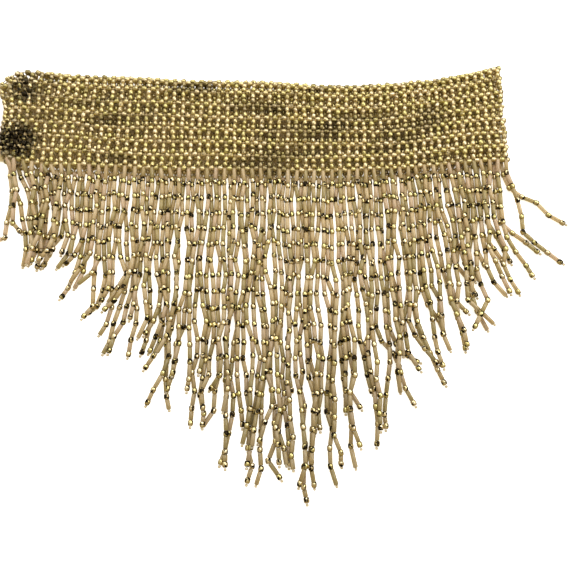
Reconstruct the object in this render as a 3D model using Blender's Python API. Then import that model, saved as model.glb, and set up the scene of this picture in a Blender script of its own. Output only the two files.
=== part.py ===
"""A beaded hip belt laid flat on a surface: a ring of bead net in two layers, and its fringe.

Metres, +Z up. The belt lies in the XY plane: +X along the band, +Y from the fringe to the band's upper
edge. The origin is under the middle of the band, on the surface that the belt lies on.
"""

import math
import random
from collections import namedtuple

import bmesh
import bpy
import numpy as np

# Driving dimensions
BAND_LENGTH = 0.376  # the ring laid flat, fold to fold
COLUMNS = 59  # columns of the net across one layer, with one strand each
COURSES = 7  # courses of the net, from the lower edge to the upper one
TOP_COURSE = 0.74  # height of the uppermost course, as a share of the others'
STRETCH = 0.0435  # the net lies wider at its left end than at its right one: 0 is even
BACK_WIDER = 0.0082  # by this share, the back layer's columns lie farther out than the front one's,
WIDER_FROM = 0.029  # measured from this place
WALL = 0.003  # the net is one bead thick
GAP = 0.0003  # clearance between pieces
RIB_RISE = 0.0006  # the rows of beads between two courses stand this far out
POINTS_PER_COURSE = 4
STATIONS = 44  # sections along the flat stretch of a wall

# The left fold isn't pressed flat: the front layer rises in a soft roll there
ROLL_LENGTH = 0.038
ROLL_RISE = 0.0052
ROLL_END = 0.011  # the roll turns down to the seam over this length
FOLD_STEPS = 5
BACK_DROPS = {"lower": 0.0044, "upper": -0.0014}  # how far the back layer's edges lie below the front's
DROP_POWER = 8  # the higher, the nearer to the folds the drop sets in

# The fringe
STRIP_HEIGHT = 0.0026  # the lowest bead row, which carries the strands
STRIP_THICK = 0.0026
STRAND_RADIUS = 0.00125
LEAD = 0.0102  # from a front strand's root to its first bead
SLACK = 0.0014  # most that chance adds to it or takes off
REPEAT = 0.0115  # one round bead and one tube
LONGEST = 18.2  # in repeats, at the point of the V
SHORTEST = 5  # before chance adds to it or takes off
STEP_UP = 0.50  # repeats lost with each column's width away from the point of the V
LENGTH_SPREAD = 0.8  # in repeats, either way
LEAN_SPREAD = 0.015  # radians, either way
FLOOR_GAP = 0.0003
LOWEST_MIDDLE = STRAND_RADIUS + FLOOR_GAP  # of a strand that lies on the surface
OVER_BACK = WALL + GAP + STRAND_RADIUS  # of a front strand where it leaves the band, over the back layer
LAID_ON = 2 * STRAND_RADIUS + GAP  # how far a strand's middle lies above that of one it crosses
NEAR = 2 * STRAND_RADIUS + 0.0002  # strands whose middles come closer than this lie on each other
LOOK_STEP = 0.0015  # spacing of the places where strands are compared

MERGE = 0.00001  # points nearer than this are one

HALF = BAND_LENGTH / 2
PITCH = BAND_LENGTH / COLUMNS

# The band's outline as it lies: it sags in the middle and flares towards its ends
Edge = namedtuple("Edge", "across lower upper")
EDGES = (
    Edge(-0.188, -0.0235, 0.0300),
    Edge(-0.184, -0.0285, 0.0325),
    Edge(-0.177, -0.0335, 0.0358),
    Edge(-0.168, -0.0342, 0.0395),
    Edge(-0.145, -0.0350, 0.0392),
    Edge(-0.114, -0.0370, 0.0364),
    Edge(-0.076, -0.0386, 0.0346),
    Edge(-0.036, -0.0396, 0.0329),
    Edge(0.004, -0.0403, 0.0317),
    Edge(0.060, -0.0408, 0.0292),
    Edge(0.080, -0.0404, 0.0286),
    Edge(0.106, -0.0390, 0.0302),
    Edge(0.140, -0.0354, 0.0348),
    Edge(0.165, -0.0335, 0.0395),
    Edge(0.188, -0.0330, 0.0455),
)

# Soft troughs and swells of the front layer, with the height that each adds to its outer side
Swell = namedtuple("Swell", "across up lean length width rise")
SWELLS = (
    Swell(-0.168, 0.45, 0.10, 0.060, 0.007, -0.0010),
    Swell(-0.118, 0.30, -0.50, 0.030, 0.009, -0.0006),
    Swell(-0.082, 0.80, 1.20, 0.050, 0.007, 0.0005),
    Swell(-0.040, 0.45, -1.10, 0.045, 0.008, -0.0006),
    Swell(0.006, 0.25, 1.30, 0.055, 0.008, 0.0005),
    Swell(0.046, 0.62, 1.35, 0.060, 0.007, -0.0006),
    Swell(0.098, 0.35, -0.90, 0.050, 0.009, 0.0006),
    Swell(0.134, 0.72, 0.50, 0.040, 0.008, -0.0005),
    Swell(0.168, 0.40, -0.30, 0.050, 0.007, 0.0005),
)

# How the strands hang from each stretch of the band. Towards +X: how far their roots are drawn along
# it, a shift that grows over the first centimetres, a lean that they keep and the curl of their ends,
# which begins at most so many repeats before them
Gather = namedtuple("Gather", "across root shift lean curl over")
GATHERS = (
    Gather(-0.188, 0.010, 0.003, 0.22, 0.00, 2.0),
    Gather(-0.172, 0.0075, 0.0050, 0.20, -0.20, 2.2),
    Gather(-0.155, 0.0040, 0.0030, 0.12, -0.30, 2.5),
    Gather(-0.132, 0.000, 0.000, 0.06, -0.40, 2.6),
    Gather(-0.110, 0.000, 0.000, 0.02, -0.40, 2.6),
    Gather(-0.080, 0.000, 0.000, 0.00, -0.15, 2.6),
    Gather(0.000, 0.000, 0.000, 0.00, 0.00, 2.6),
    Gather(0.070, 0.000, 0.000, 0.01, 0.10, 2.6),
    Gather(0.115, 0.000, 0.001, 0.03, 0.20, 3.0),
    Gather(0.150, 0.000, 0.001, 0.05, 0.16, 3.0),
    Gather(0.174, -0.001, 0.000, 0.03, 0.30, 3.4),
    Gather(0.188, -0.003, 0.001, 0.03, 0.95, 4.2),
)
GATHER_LENGTH = 0.032

# Strands that lie apart from their neighbours, with what each adds to its lean and its curl
Stray = namedtuple("Stray", "layer column lean curl")
STRAYS = (
    Stray("back", 28, 0.27, -0.20),
    Stray("back", -29, -0.26, -1.00),
    Stray("front", -28, -0.16, 0.60),
    Stray("front", 11, 0.02, -0.50),
    Stray("back", -9, -0.02, 0.55),
    Stray("front", 24, 0.02, -0.90),
    Stray("front", 29, 0.20, -0.25),
)

# Waves in the strands: sideways swing in metres, wavelength across the belt and along a strand
Wave = namedtuple("Wave", "swing across along phase")
SHARED_WAVES = (
    Wave(0.0014, 0.037, 0.150, 0.4),
    Wave(0.0009, 0.0215, 0.082, 2.1),
)
OWN_SWING = (0.0003, 0.0007)  # of the wave that each strand has of its own
OWN_WAVE = (0.034, 0.070)
WAVES_SET_IN = 0.085  # the waves grow over this length from the roots
CROWDED_LENGTH = 0.060  # near the left fold, the gathered strands leave less room for them
CROWDED_ROOM = 0.2

# The two layers of the ring: where the point of their V is, how far their columns are set off, in
# columns, their own wave, and how many strands deep they may lie
Layer = namedtuple("Layer", "name point offset wave seed deepest")
BACK = Layer("back", 0.014, 0.5, Wave(0.0006, 0.052, 0.110, 1.3), 11, 2)
FRONT = Layer("front", 0.040, 0.0, Wave(0.0006, 0.044, 0.095, 4.0), 23, 4)

CURL_SPREAD = 0.22  # radians
SHORT_CURL = 0.25  # the front layer's shortest strands hang straighter, among longer ones
CURL_BEGINS_WITHIN = 1.7  # repeats
CURL_TURNS = 1.4  # repeats over which a strand's end turns
LOOSE_REPEATS = 4  # a strand's last repeats bend freely at their beads
LOOSE_KINK = 0.12  # radians
MOST_SIDEWAYS = 0.85
CALMER = (1.0, 0.7, 0.4, 0.1, -0.2, -0.5)  # shares of its chance bends that a strand is tried with


def value_at(rows, column, across):
    """A smooth curve through one column of a table whose rows run along the band."""
    places = np.array([row.across for row in rows])
    values = np.array([getattr(row, column) for row in rows])
    slopes = np.gradient(values, places)
    across = min(max(across, places[0]), places[-1])
    k = int(min(max(np.searchsorted(places, across) - 1, 0), len(places) - 2))
    span = places[k + 1] - places[k]
    t = (across - places[k]) / span
    rise = values[k] * (1 + 2 * t) * (1 - t) ** 2 + values[k + 1] * t * t * (3 - 2 * t)
    return float(rise + span * (slopes[k] * t * (1 - t) ** 2 - slopes[k + 1] * t * t * (1 - t)))


def ease(t):
    """0 to 1, with a level start and end."""
    t = min(max(t, 0.0), 1.0)
    return t * t * (3 - 2 * t)


def place_of(layer, column):
    """Where a column of a layer is along the band."""
    u = (column + layer.offset) * 2 / COLUMNS
    place = HALF * (u + STRETCH * (1 - u * u))
    return place + BACK_WIDER * (place - WIDER_FROM) if layer is BACK else place


def row_share(course):
    """How far up the net's height a place is after so many courses."""
    below = COURSES - 1
    return (min(course, below) + TOP_COURSE * max(course - below, 0)) / (below + TOP_COURSE)


def middle_height(layer, across):
    """Height of the middle of a layer's wall above the surface, away from its folds."""
    if layer is BACK:
        return WALL / 2
    return WALL * 1.5 + GAP + ROLL_RISE * ease((ROLL_LENGTH - HALF - across) / (ROLL_LENGTH - ROLL_END))


def fold_arc(centre_x, centre_z, reach_x, reach_z):
    """Points of a quarter ellipse that ends level with its centre, which the wall turns down or up on."""
    for k in range(1, FOLD_STEPS + 1):
        turn = 0.5 * math.pi * k / FOLD_STEPS
        yield centre_x + reach_x * math.sin(turn), centre_z + reach_z * math.cos(turn)


def wall_path(layer):
    """The middle of a layer's wall, seen along Y, from the left fold to the right one."""
    flat_end = HALF - WALL
    if layer is FRONT:
        seam = WALL + GAP
        left = -HALF + ROLL_END
        crest = middle_height(layer, left) - seam
        path = list(fold_arc(left, seam, -(ROLL_END - WALL / 2), crest))[::-1]
    else:
        seam = WALL
        left = -flat_end
        path = list(fold_arc(left, seam, -WALL / 2, -WALL / 2))[::-1]
    turn = middle_height(layer, flat_end) - seam
    flat = [left + (flat_end - left) * k / STATIONS for k in range(STATIONS + 1)]
    path += [(x, middle_height(layer, x)) for x in flat]
    return path + list(fold_arc(flat_end, seam, WALL / 2, turn))


def outward_normals(path, up):
    """Unit normals in the XZ plane, towards the layer's outer side."""
    points = np.array(path)
    runs = np.gradient(points, axis=0)
    runs[0] = (0.0, 1.0) if up > 0 else (0.0, -1.0)
    runs[-1] = -runs[0]
    normals = up * np.column_stack([-runs[:, 1], runs[:, 0]])
    return normals / np.linalg.norm(normals, axis=1)[:, None]


def swell_at(across, fraction, height):
    """How far the soft troughs and swells move the outer side at a place on the band."""
    total = 0.0
    for s in SWELLS:
        dx = across - s.across
        dy = (fraction - s.up) * height
        along = dx * math.sin(s.lean) + dy * math.cos(s.lean)
        beside = dx * math.cos(s.lean) - dy * math.sin(s.lean)
        total += s.rise * math.exp(-((2 * along / s.length) ** 2) - (beside / s.width) ** 2)
    return total


def loft(name, rings):
    """A closed solid through rings of equally many points, with both ends capped."""
    bm = bmesh.new()
    rows = [[bm.verts.new(point) for point in ring] for ring in rings]
    count = len(rows[0])
    for row, following in zip(rows, rows[1:]):
        for k in range(count):
            near = (k + 1) % count
            bm.faces.new((row[k], row[near], following[near], following[k]))
    bm.faces.new(rows[0][::-1])
    bm.faces.new(rows[-1])
    bmesh.ops.remove_doubles(bm, verts=bm.verts, dist=MERGE)
    bmesh.ops.recalc_face_normals(bm, faces=bm.faces)
    mesh = bpy.data.meshes.new(name)
    bm.to_mesh(mesh)
    bm.free()
    return mesh


def edge_at(layer, edge, across):
    """The lower or upper edge of a layer at a place along the band."""
    drop = BACK_DROPS[edge] * (1 - (across / HALF) ** DROP_POWER) if layer is BACK else 0.0
    return value_at(EDGES, edge, across) - drop


def sections(layer):
    """Along a layer's wall: the wall's middle, its outward normal and the layer's two edges there."""
    path = wall_path(layer)
    for (x, z), (nx, nz) in zip(path, outward_normals(path, 1 if layer is FRONT else -1)):
        outer_x = x + nx * WALL / 2
        yield x, z, nx, nz, edge_at(layer, "lower", outer_x), edge_at(layer, "upper", outer_x)


def band_wall(layer):
    """One layer of the band: ribbed courses on the outer side that shows, plain elsewhere."""
    steps = COURSES * POINTS_PER_COURSE if layer is FRONT else 1
    rings = []
    for x, z, nx, nz, edge, upper in sections(layer):
        lower = edge + STRIP_HEIGHT + GAP
        inner = [(x - nx * WALL / 2, y, z - nz * WALL / 2) for y in (upper, lower)]
        outer = []
        for k in range(steps + 1):
            fraction = row_share(COURSES * k / steps)
            rise = 0.0
            if layer is FRONT:
                rib = 0.5 + 0.5 * math.cos(2 * math.pi * COURSES * k / steps)
                rise = (RIB_RISE * rib + swell_at(x, fraction, upper - lower)) * max(nz, 0.0)
            reach = WALL / 2 + rise
            outer.append((x + nx * reach, lower + (upper - lower) * fraction, z + nz * reach))
        rings.append(outer + inner)
    return loft("band_" + layer.name, rings)


def root_strip(layer):
    """The lowest bead row of a layer, parted from its wall: the strands are fused into it."""
    rings = []
    for x, z, nx, nz, edge, _ in sections(layer):
        inner, outer = -STRIP_THICK / 2, STRIP_THICK / 2
        corners = ((edge, inner), (edge + STRIP_HEIGHT, inner), (edge + STRIP_HEIGHT, outer), (edge, outer))
        rings.append([(x + nx * out, y, z + nz * out) for y, out in corners])
    return loft("strip_" + layer.name, rings)


def wave_at(wave, across, along):
    """Sideways swing of a strand that leaves the band at one place, after a length along it."""
    turn = 2 * math.pi * (across / wave.across + along / wave.along) + wave.phase
    return wave.swing * math.sin(turn) * ease(along / WAVES_SET_IN)


def chances_of(layer, column, draw):
    """What differs by chance from one strand to the next."""
    repeats = LONGEST - STEP_UP * abs(place_of(layer, column) - layer.point) / PITCH
    return {
        "repeats": round(max(repeats, SHORTEST) + draw.uniform(-LENGTH_SPREAD, LENGTH_SPREAD)),
        "slack": draw.uniform(-SLACK, SLACK),
        "lean": draw.uniform(-LEAN_SPREAD, LEAN_SPREAD),
        "curl": abs(draw.gauss(0.0, CURL_SPREAD)),
        "begins": draw.uniform(0.0, CURL_BEGINS_WITHIN),
        "wave": Wave(draw.uniform(*OWN_SWING), 1.0, draw.uniform(*OWN_WAVE), draw.uniform(0.0, math.tau)),
        "kinks": [draw.gauss(0.0, LOOSE_KINK) for _ in range(LOOSE_REPEATS)],
    }


def strand_plan(layer, column, chances, share):
    """Where a strand runs, seen from above: its root, each of its beads and its end. The first beads
    of both layers lie in one row."""
    place = place_of(layer, column)
    hang = {name: value_at(GATHERS, name, place) for name in Gather._fields[1:]}
    strays = [stray for stray in STRAYS if (stray.layer, stray.column) == (layer.name, column)]
    outwards = 1 if place > layer.point else -1
    lean = hang["lean"] + chances["lean"] + sum(stray.lean for stray in strays)
    curl = hang["curl"] + outwards * chances["curl"] * share
    if layer is FRONT and chances["repeats"] <= SHORTEST:
        curl *= SHORT_CURL
    curl += sum(stray.curl for stray in strays)
    begins = hang["over"] - chances["begins"]
    room = CROWDED_ROOM + (1 - CROWDED_ROOM) * ease((place + HALF) / CROWDED_LENGTH)
    x = place + hang["root"]
    y = edge_at(layer, "lower", x) + STRIP_HEIGHT / 2
    lead = LEAD + chances["slack"] + edge_at(layer, "lower", x) - edge_at(FRONT, "lower", x)
    plan = [(x, y)]
    along = swing_before = 0.0
    for left in range(chances["repeats"], -1, -1):
        step = lead if left == chances["repeats"] else REPEAT
        along += step
        swing = hang["shift"] * ease(along / GATHER_LENGTH) + lean * along
        waves = (*SHARED_WAVES, layer.wave, chances["wave"])
        swing += room * sum(wave_at(wave, place, along) for wave in waves)
        sideways = min(max((swing - swing_before) / step, -MOST_SIDEWAYS), MOST_SIDEWAYS)
        swing_before = swing
        heading = math.asin(sideways) + curl * ease((begins - left) / CURL_TURNS)
        if left < LOOSE_REPEATS:
            heading += chances["kinks"][left] * share
        x += step * math.sin(heading)
        y -= step * math.cos(heading)
        plan.append((x, y))
    return np.array(plan)


def knots_of(plan):
    """The knots that carry a strand's solid: all near its end, every second one before."""
    last = len(plan) - 1
    kept = [0, 1] + [k for k in range(2, last + 1) if last - k < LOOSE_REPEATS or (last - k) % 2]
    return plan[kept]


def places_along(knots):
    """Places every few millimetres on the straight runs between knots, with the run each is in."""
    places, runs = [], []
    for run, (start, end) in enumerate(zip(knots, knots[1:])):
        count = max(int(np.linalg.norm((end - start)[:2]) / LOOK_STEP), 1)
        for k in range(count + 1):
            places.append(start + (end - start) * k / count)
            runs.append(run)
    return np.array(places), np.array(runs)


def laid_strand(knots, first_heights, laid):
    """Gives a strand its heights: on the surface, or on the strands laid before it that it meets."""
    places, runs = places_along(knots)
    heights = np.full(len(knots), LOWEST_MIDDLE)
    heights[:2] = first_heights
    if len(laid):
        apart = (places[:, None, 0] - laid[None, :, 0]) ** 2 + (places[:, None, 1] - laid[None, :, 1]) ** 2
        under = np.where(apart < NEAR * NEAR, laid[None, :, 2] + LAID_ON, 0.0).max(axis=1)
        for run, height in zip(runs, under):
            for knot in (run, run + 1):
                if knot:
                    heights[knot] = max(heights[knot], height)
    return np.column_stack([knots, heights])


def calmest_strand(layer, column, chances, laid):
    """A strand with as much of its chance bends as lets it lie low enough."""
    over = OVER_BACK if layer is FRONT else LOWEST_MIDDLE
    highest = LOWEST_MIDDLE + (layer.deepest - 0.5) * LAID_ON
    tries = []
    for share in CALMER:
        knots = knots_of(strand_plan(layer, column, chances, share))
        strand = laid_strand(knots, (middle_height(layer, knots[0][0]), over), laid)
        tries.append(strand)
        if strand[1:, 2].max() < highest:
            return strand
    return min(tries, key=lambda strand: strand[1:, 2].max())


def laid_fringe():
    """The knots of every strand of both layers. Each layer is laid in two turns, every second strand
    first, so that bunched strands lie two deep and no deeper."""
    laid = np.empty((0, 3))
    fringe = {}
    for layer in (BACK, FRONT):
        draw = random.Random(layer.seed)
        last = COLUMNS // 2 - (1 if layer.offset else 0)
        columns = range(-(COLUMNS // 2), last + 1)
        chances = {column: chances_of(layer, column, draw) for column in columns}
        strands = {}
        for column in (*columns[::2], *columns[1::2]):
            strands[column] = calmest_strand(layer, column, chances[column], laid)
            laid = np.vstack([laid, places_along(strands[column])[0]])
        fringe[layer] = [strands[column] for column in columns]
    return fringe


def strand_mesh(name, strands):
    """All strands of a layer as four-sided cords with closed ends."""
    curve = bpy.data.curves.new(name, "CURVE")
    curve.dimensions = "3D"
    curve.bevel_depth = STRAND_RADIUS
    curve.bevel_resolution = 0
    curve.use_fill_caps = True
    curve.twist_mode = "Z_UP"
    for knots in strands:
        spline = curve.splines.new("POLY")
        spline.points.add(len(knots) - 1)
        for point, knot in zip(spline.points, knots):
            point.co = (*knot, 1.0)
    cord = bpy.data.objects.new(name, curve)
    bpy.context.scene.collection.objects.link(cord)
    bpy.context.view_layer.update()
    mesh = bpy.data.meshes.new_from_object(cord.evaluated_get(bpy.context.evaluated_depsgraph_get()))
    bpy.data.objects.remove(cord)
    bm = bmesh.new()
    bm.from_mesh(mesh)
    bmesh.ops.remove_doubles(bm, verts=bm.verts, dist=MERGE)
    bmesh.ops.recalc_face_normals(bm, faces=bm.faces)
    bm.to_mesh(mesh)
    bm.free()
    return mesh


def material(name, colour, roughness, metallic):
    made = bpy.data.materials.new(name)
    made.use_nodes = True
    shader = made.node_tree.nodes["Principled BSDF"]
    shader.inputs["Base Color"].default_value = (*colour, 1.0)
    shader.inputs["Roughness"].default_value = roughness
    shader.inputs["Metallic"].default_value = metallic
    return made


def placed(name, mesh, collection, finish):
    piece = bpy.data.objects.new(name, mesh)
    collection.objects.link(piece)
    mesh.materials.clear()
    mesh.materials.append(finish)
    return piece


def fringe_piece(layer, strands, belt, cutters, finish):
    """A layer's strands joined to their root strip."""
    piece = placed("fringe_" + layer.name, root_strip(layer), belt, finish)
    cords = placed("strands_" + layer.name, strand_mesh("strands_" + layer.name, strands), cutters, finish)
    cords.hide_render = True
    cords.display_type = "WIRE"
    union = piece.modifiers.new("roots", "BOOLEAN")
    union.operation = "UNION"
    union.object = cords
    return piece


def build_belt():
    for old in list(bpy.data.objects):
        bpy.data.objects.remove(old, do_unlink=True)
    belt = bpy.data.collections.new("Hip belt")
    cutters = bpy.data.collections.new("Joined into the belt")
    for collection in (belt, cutters):
        bpy.context.scene.collection.children.link(collection)
    net_gold = material("gold bead net", (0.53, 0.43, 0.19), 0.3, 0.9)
    strand_gold = material("champagne strand", (0.66, 0.56, 0.38), 0.25, 0.3)
    fringe = laid_fringe()
    for layer in (BACK, FRONT):
        placed("band_" + layer.name, band_wall(layer), belt, net_gold)
        fringe_piece(layer, fringe[layer], belt, cutters, strand_gold)


build_belt()
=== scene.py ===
# %% [markdown]
# # A beaded hip belt, laid flat
#
# The belt is a closed ring of bead net, laid flat so that its front half lies on its back half, with one
# strand of beads hanging from every column of the net. Nothing in it is cloth: what looks like cloth is
# about 2,600 small gold barrel beads on elastic thread, and the fringe is a bead and a glass tube in turn.
# So this lesson makes only three small shapes, a bead, a tube and a thread, and spends its effort on where
# the thousands of copies go and on how metal and glass answer the light.

import math
import random
from collections import namedtuple

import bmesh
import bpy
import numpy as np
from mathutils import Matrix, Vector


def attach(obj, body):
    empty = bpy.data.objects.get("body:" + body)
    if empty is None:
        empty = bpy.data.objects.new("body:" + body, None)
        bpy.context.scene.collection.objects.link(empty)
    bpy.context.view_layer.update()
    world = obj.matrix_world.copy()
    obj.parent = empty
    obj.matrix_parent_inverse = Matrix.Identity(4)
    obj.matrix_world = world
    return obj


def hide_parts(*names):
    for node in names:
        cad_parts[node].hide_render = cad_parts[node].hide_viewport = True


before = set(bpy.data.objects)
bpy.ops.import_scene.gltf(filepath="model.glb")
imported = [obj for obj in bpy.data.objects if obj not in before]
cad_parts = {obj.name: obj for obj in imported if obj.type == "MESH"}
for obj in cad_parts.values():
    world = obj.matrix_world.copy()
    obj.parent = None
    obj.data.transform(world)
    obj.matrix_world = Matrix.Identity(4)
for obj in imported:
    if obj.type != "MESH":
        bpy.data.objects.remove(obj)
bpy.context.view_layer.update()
print("nodes:", sorted(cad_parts))

# %% [markdown]
# ## Camera
#
# The belt is seen from above and a little from the fringe's side. A camera could be aimed with a Track To
# constraint, but one tilt says the same in one number and can't drift when something is added.

# %% Camera
CAMERA_PLACE = (0.0290, -0.2298, 0.403)
CAMERA_TILT = math.radians(14.3)  # away from looking straight down
CAMERA_LENS = 37.24  # mm, on a sensor 36 mm wide


def new_object(name, data):
    """An object in the scene that holds a camera, a light, a curve or a mesh."""
    made = bpy.data.objects.new(name, data)
    bpy.context.scene.collection.objects.link(made)
    return made


camera_data = bpy.data.cameras.new("camera")
camera_data.lens = CAMERA_LENS
camera = new_object("camera", camera_data)
camera.location = CAMERA_PLACE
camera.rotation_euler = (CAMERA_TILT, 0.0, 0.0)
bpy.context.scene.camera = camera
print("camera at", CAMERA_PLACE)

# %% [markdown]
# ## Shader sums
#
# Node trees get long when each step is wired by hand. Here a small class wraps an output socket and
# overloads the operators, so `1 - mask` adds its Math node by itself. One method adds any other node, and
# short ones stand for the nodes that are needed often.

# %% Sockets that can be added up
class Value:
    """An output socket that sums can be written with."""

    def __init__(self, shading, socket):
        self.shading = shading
        self.socket = socket

    def math(self, operation, *values):
        return self.shading.node("ShaderNodeMath", {"operation": operation}, dict(enumerate(values)))

    def __add__(self, other):
        return self.math("ADD", self, other)

    def __sub__(self, other):
        return self.math("SUBTRACT", self, other)

    def __rsub__(self, other):
        return self.math("SUBTRACT", other, self)

    def __mul__(self, other):
        return self.math("MULTIPLY", self, other)

    __radd__ = __add__
    __rmul__ = __mul__


class Shading:
    """The node tree of a material or of the world."""

    def __init__(self, tree):
        self.tree = tree

    def node(self, kind, settings=None, sockets=None, output=0):
        """Adds a node, applies its settings, then fills its sockets with values or links."""
        node = self.tree.nodes.new(kind)
        for name, value in (settings or {}).items():
            setattr(node, name, value)
        self.fill(node, sockets or {})
        return Value(self, node.outputs[output])

    def fill(self, node, sockets):
        for name, value in sockets.items():
            if isinstance(value, Value):
                self.tree.links.new(value.socket, node.inputs[name])
            else:
                node.inputs[name].default_value = value

    def attribute(self, name, output="Fac"):
        return self.node("ShaderNodeAttribute", {"attribute_name": name}, output=output)

    def axis(self, vector, name):
        return self.node("ShaderNodeSeparateXYZ", sockets={0: vector}, output=name)

    def vectors(self, operation, first, second, output=0):
        return self.node("ShaderNodeVectorMath", {"operation": operation}, {0: first, 1: second}, output)

    def noise(self, scale, detail=2.0, vector=None):
        sockets = {"Vector": vector or self.place(), "Scale": scale, "Detail": detail}
        return self.node("ShaderNodeTexNoise", sockets=sockets)

    def between(self, value, low, high):
        """0 below low, 1 above high, with a smooth step between them."""
        sockets = {"Value": value, "From Min": low, "From Max": high}
        return self.node("ShaderNodeMapRange", {"interpolation_type": "SMOOTHSTEP"}, sockets)

    def mix(self, factor, first, second):
        """A colour between two colours."""
        sockets = {0: factor, 6: first, 7: second}
        return self.node("ShaderNodeMix", {"data_type": "RGBA"}, sockets, output=2)

    def place(self):
        return self.node("ShaderNodeTexCoord", output="Object")

    def bump(self, height, depth):
        sockets = {"Height": height, "Distance": depth}
        return self.node("ShaderNodeBump", sockets=sockets, output="Normal")


def new_material(name, sockets, finish):
    material = bpy.data.materials.new(name)
    material.use_nodes = True
    shading = Shading(material.node_tree)
    surface = material.node_tree.nodes["Principled BSDF"]
    shading.fill(surface, {**sockets, **finish(shading)})
    return material


print("shader helpers ready")

# %% [markdown]
# ## Floor and light
#
# Polished metal has no look of its own: it shows the room. So the room is bright above and beyond the
# belt and dim on the viewer's side, and each bead gets a pale spot on one side and a dark foot on the
# other. A picture of a studio round the scene would do, but two soft boxes and a world that fades from
# one side to the other give the same spots and stay editable.
#
# The strands stand so close that the floor between them would go grey. Real product tables glow from
# below for this reason, and so does this floor, a little. The glow also shines through the glass tubes.
# It leaves out the place of the net, whose openings would light up otherwise, and the floor there is
# tinted with the warm light that real gold beads throw down, which takes many bounces to work out.

# %% Floor and light
FLOOR_SIZE = 6.0
FLOOR_GRAIN = 60.0  # noise between its two whites
FLOOR_WHITES = ((0.90, 0.90, 0.90, 1.0), (0.94, 0.94, 0.935, 1.0))
FLOOR_GLOW = (0.80, 0.77, 0.70, 1.0)  # keeps the floor pale between the strands
BLACK = (0.0, 0.0, 0.0, 1.0)
FLOOR_UNDER_NET = (0.62, 0.48, 0.24, 1.0)  # in the warm light that the gold beads throw down
NET_SAG = 0.33  # the middle line of the net lies at NET_SAG * x * x - NET_DROP
NET_DROP = 0.0060
NET_INNER = (0.0335, 0.184)  # under the net: so far to each side of that line, and so far along it
NET_OUTER = (0.0375, 0.188)
WORLD_DARK = (0.50, 0.41, 0.26, 1.0)
WORLD_PALE = (1.12, 1.13, 1.12, 1.0)
WORLD_SLOPE = (0.8, 0.6)  # it grows pale beyond the belt and above it, by these shares,
WORLD_FADE = (-0.30, 0.95)  # between these values
LIGHTS_AIM = (0.0, -0.08, 0.0)

SoftBox = namedtuple("SoftBox", "name place wide tall watts")
SOFT_BOXES = (
    SoftBox("key", (-0.20, 0.80, 1.10), 1.3, 0.8, 6.5),
    SoftBox("fill", (0.85, 0.20, 1.20), 0.8, 0.8, 8.0),
)


def floor_finish(shading):
    place = shading.place()
    grain = shading.noise(FLOOR_GRAIN, 4.0)
    across, up = shading.axis(place, "X"), shading.axis(place, "Y")
    beside = up - (across * across * NET_SAG - NET_DROP)
    outside = shading.between(beside * beside, NET_INNER[0] ** 2, NET_OUTER[0] ** 2)
    past_ends = shading.between(across * across, NET_INNER[1] ** 2, NET_OUTER[1] ** 2)
    outside = shading.between(outside + past_ends, 0.0, 1.0)
    white = shading.mix(grain, *FLOOR_WHITES)
    return {
        "Base Color": shading.mix(outside, FLOOR_UNDER_NET, white),
        "Emission Color": shading.mix(outside, BLACK, FLOOR_GLOW),
    }


def make_floor():
    bm = bmesh.new()
    bmesh.ops.create_grid(bm, x_segments=1, y_segments=1, size=FLOOR_SIZE / 2)
    mesh = bpy.data.meshes.new("floor")
    bm.to_mesh(mesh)
    bm.free()
    constants = {"Roughness": 0.9, "Emission Strength": 1.0}
    mesh.materials.append(new_material("floor", constants, floor_finish))
    floor = new_object("floor", mesh)
    floor.visible_glossy = False  # the metal shows the dark room, not the floor


def make_soft_box(box):
    light = bpy.data.lights.new(box.name, "AREA")
    light.shape = "RECTANGLE"
    light.energy = box.watts
    light.size, light.size_y = box.wide, box.tall
    lamp = new_object(box.name, light)
    lamp.location = box.place
    towards = np.subtract(LIGHTS_AIM, box.place)
    lamp.rotation_euler = Vector(towards).to_track_quat("-Z", "Y").to_euler()


def make_world():
    world = bpy.data.worlds.new("studio")
    world.use_nodes = True
    shading = Shading(world.node_tree)
    towards = shading.node("ShaderNodeTexCoord", output="Generated")
    beyond, above = shading.axis(towards, "Y"), shading.axis(towards, "Z")
    pale = shading.between(beyond * WORLD_SLOPE[0] + above * WORLD_SLOPE[1], *WORLD_FADE)
    background = world.node_tree.nodes["Background"]
    shading.fill(background, {"Color": shading.mix(pale, WORLD_DARK, WORLD_PALE)})
    bpy.context.scene.world = world


make_floor()
make_world()
for box in SOFT_BOXES:
    make_soft_box(box)
bpy.context.scene.view_settings.view_transform = "Standard"
print(len(SOFT_BOXES), "soft boxes over a floor", FLOOR_SIZE, "m wide")

# %% [markdown]
# ## The belt's measures
#
# The belt was laid out once, in the solids that carry it. Its beads have to follow the same walls and
# strands, so the measures and curves here are the same ones: a table row for each stretch of the band,
# and a smooth curve read between the rows.

# %% Measures
BAND_LENGTH = 0.376  # the ring laid flat, fold to fold
COLUMNS = 59  # of the net across the front layer
COURSES = 7  # of the net, from the lower edge to the upper one
TOP_COURSE = 0.74  # height of the uppermost course, as a share of the others'
STRETCH = 0.0435  # the net lies wider at its left end than at its right one
BACK_WIDER = 0.0082  # by this share, the back layer's columns lie farther out than the front one's,
WIDER_FROM = 0.029  # measured from this place
WALL = 0.003  # the net is one bead thick
GAP = 0.0003  # between the layers, and between strands that cross
STATIONS = 44  # steps along a wall
ROLL_LENGTH = 0.038  # the left fold lies in a soft roll
ROLL_RISE = 0.0052
ROLL_END = 0.011  # the part of it that turns down to the fold
FOLD_STEPS = 5
BACK_DROPS = {"lower": 0.0044, "upper": -0.0014}  # of the back layer's edges, under the front one's,
DROP_POWER = 8  # all along the band, but not at the folds
STRIP_HEIGHT = 0.0026  # the lowest bead row
STRAND_RADIUS = 0.00125
LEAD = 0.0102  # from a front strand's root to its first bead
SLACK = 0.0014  # by chance more or less
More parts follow.
